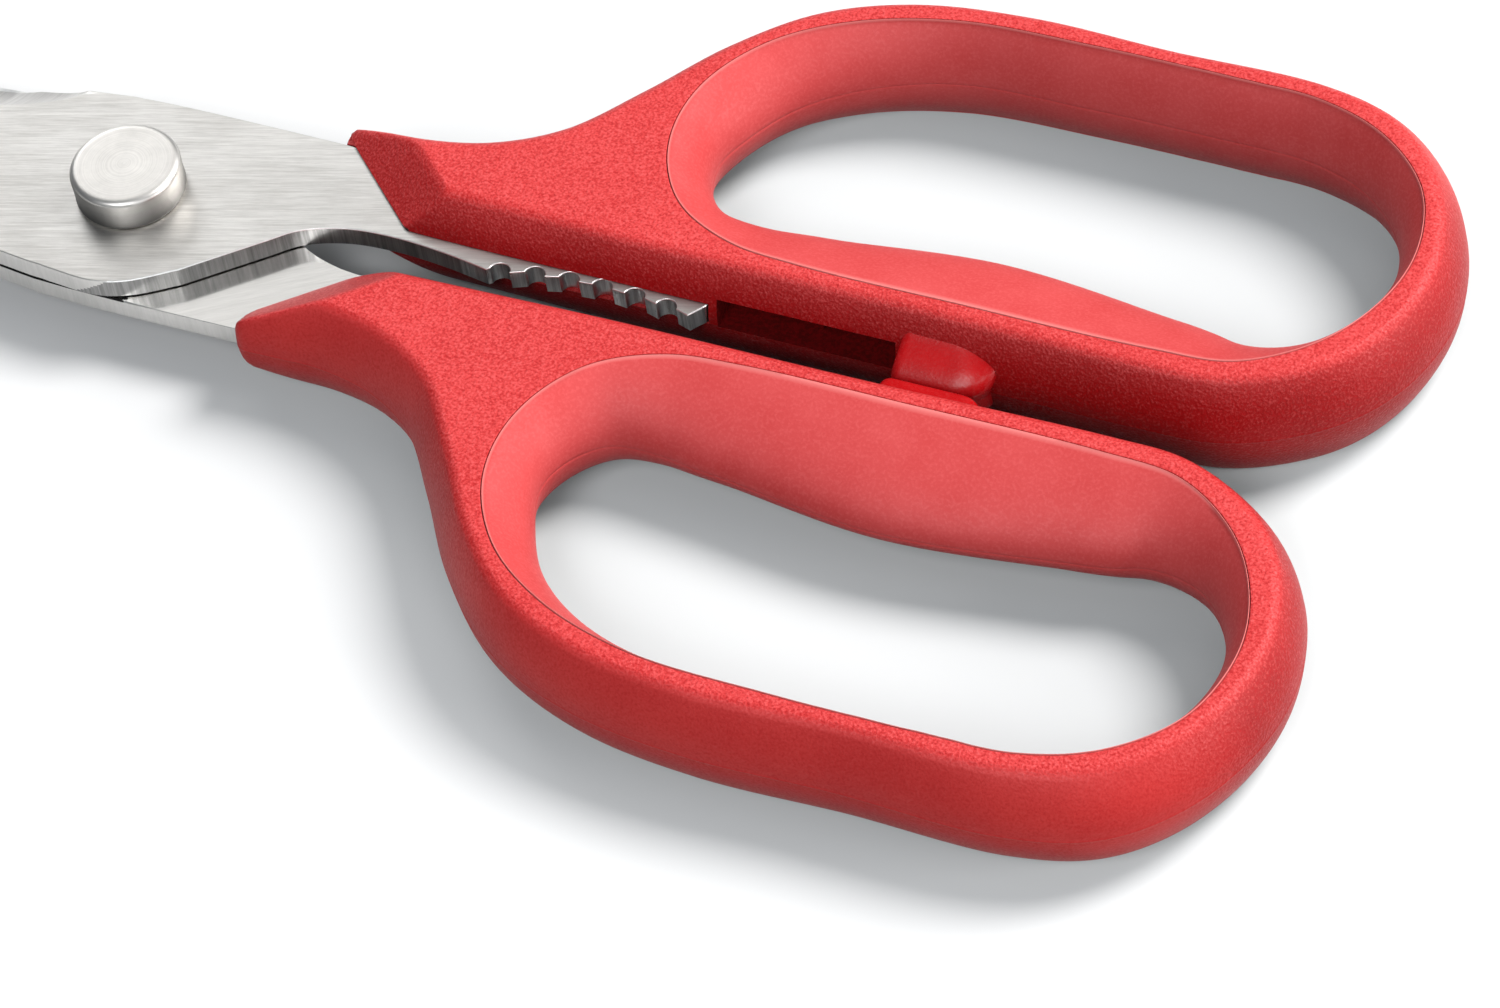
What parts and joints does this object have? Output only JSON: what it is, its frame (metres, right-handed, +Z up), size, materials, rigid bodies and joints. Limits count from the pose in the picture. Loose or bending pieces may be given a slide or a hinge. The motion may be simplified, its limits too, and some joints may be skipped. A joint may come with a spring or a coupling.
{
  "type": "poultry shears",
  "caption": "Poultry shears, closed: crossing steel blades on a capped pivot, a toothed gripping jaw behind it, and red loop handles with soft finger liners.",
  "frame": {"origin": "under the middle of the closed shears, on the surface they lie on", "axes": "+X along the shears from the blade tips to the handle ends, +Z up through the shears' thickness and along the pivot axis, +Y towards the handle of the upper blade"},
  "size_m": [0.234, 0.0988, 0.014],
  "materials": {
    "upper_blade_steel": "fine brushed along the blade, satin",
    "lower_blade_steel": "fine brushed along the blade, satin",
    "upper_handle_plastic": "hard red plastic, fine grained",
    "lower_handle_plastic": "hard red plastic, fine grained",
    "upper_liner_rubber": "smooth soft red elastomer",
    "lower_liner_rubber": "smooth soft red elastomer",
    "upper_stop_rubber": "smooth soft red elastomer",
    "lower_stop_rubber": "smooth soft red elastomer",
    "cap_steel": "satin on top, polished at the rim",
    "bolt_steel": "plain turned or stamped",
    "nut_steel": "plain turned or stamped",
    "spring_steel": "plain turned or stamped",
    "bushing_metal": "plain bearing metal",
    "washer_steel": "plain turned or stamped"
  },
  "bodies": {
    "lower_half": {"lower_blade": "lower_blade_steel", "lower_handle": "lower_handle_plastic", "lower_liner": "lower_liner_rubber", "lower_stop": "lower_stop_rubber", "pivot_bolt": "bolt_steel", "pivot_cap": "cap_steel", "pivot_nut": "nut_steel", "disc_spring": "spring_steel", "pivot_bushing": "bushing_metal", "back_washer": "washer_steel"},
    "upper_half": {"upper_blade": "upper_blade_steel", "upper_handle": "upper_handle_plastic", "upper_liner": "upper_liner_rubber", "upper_stop": "upper_stop_rubber"}
  },
  "joints": [
    {"name": "pivot", "type": "hinge", "parent": "lower_half", "child": "upper_half", "pos_m": [-0.02081, 0, 0.007], "axis": [0, 0, 1], "range_deg": [0, 50]}
  ]
}
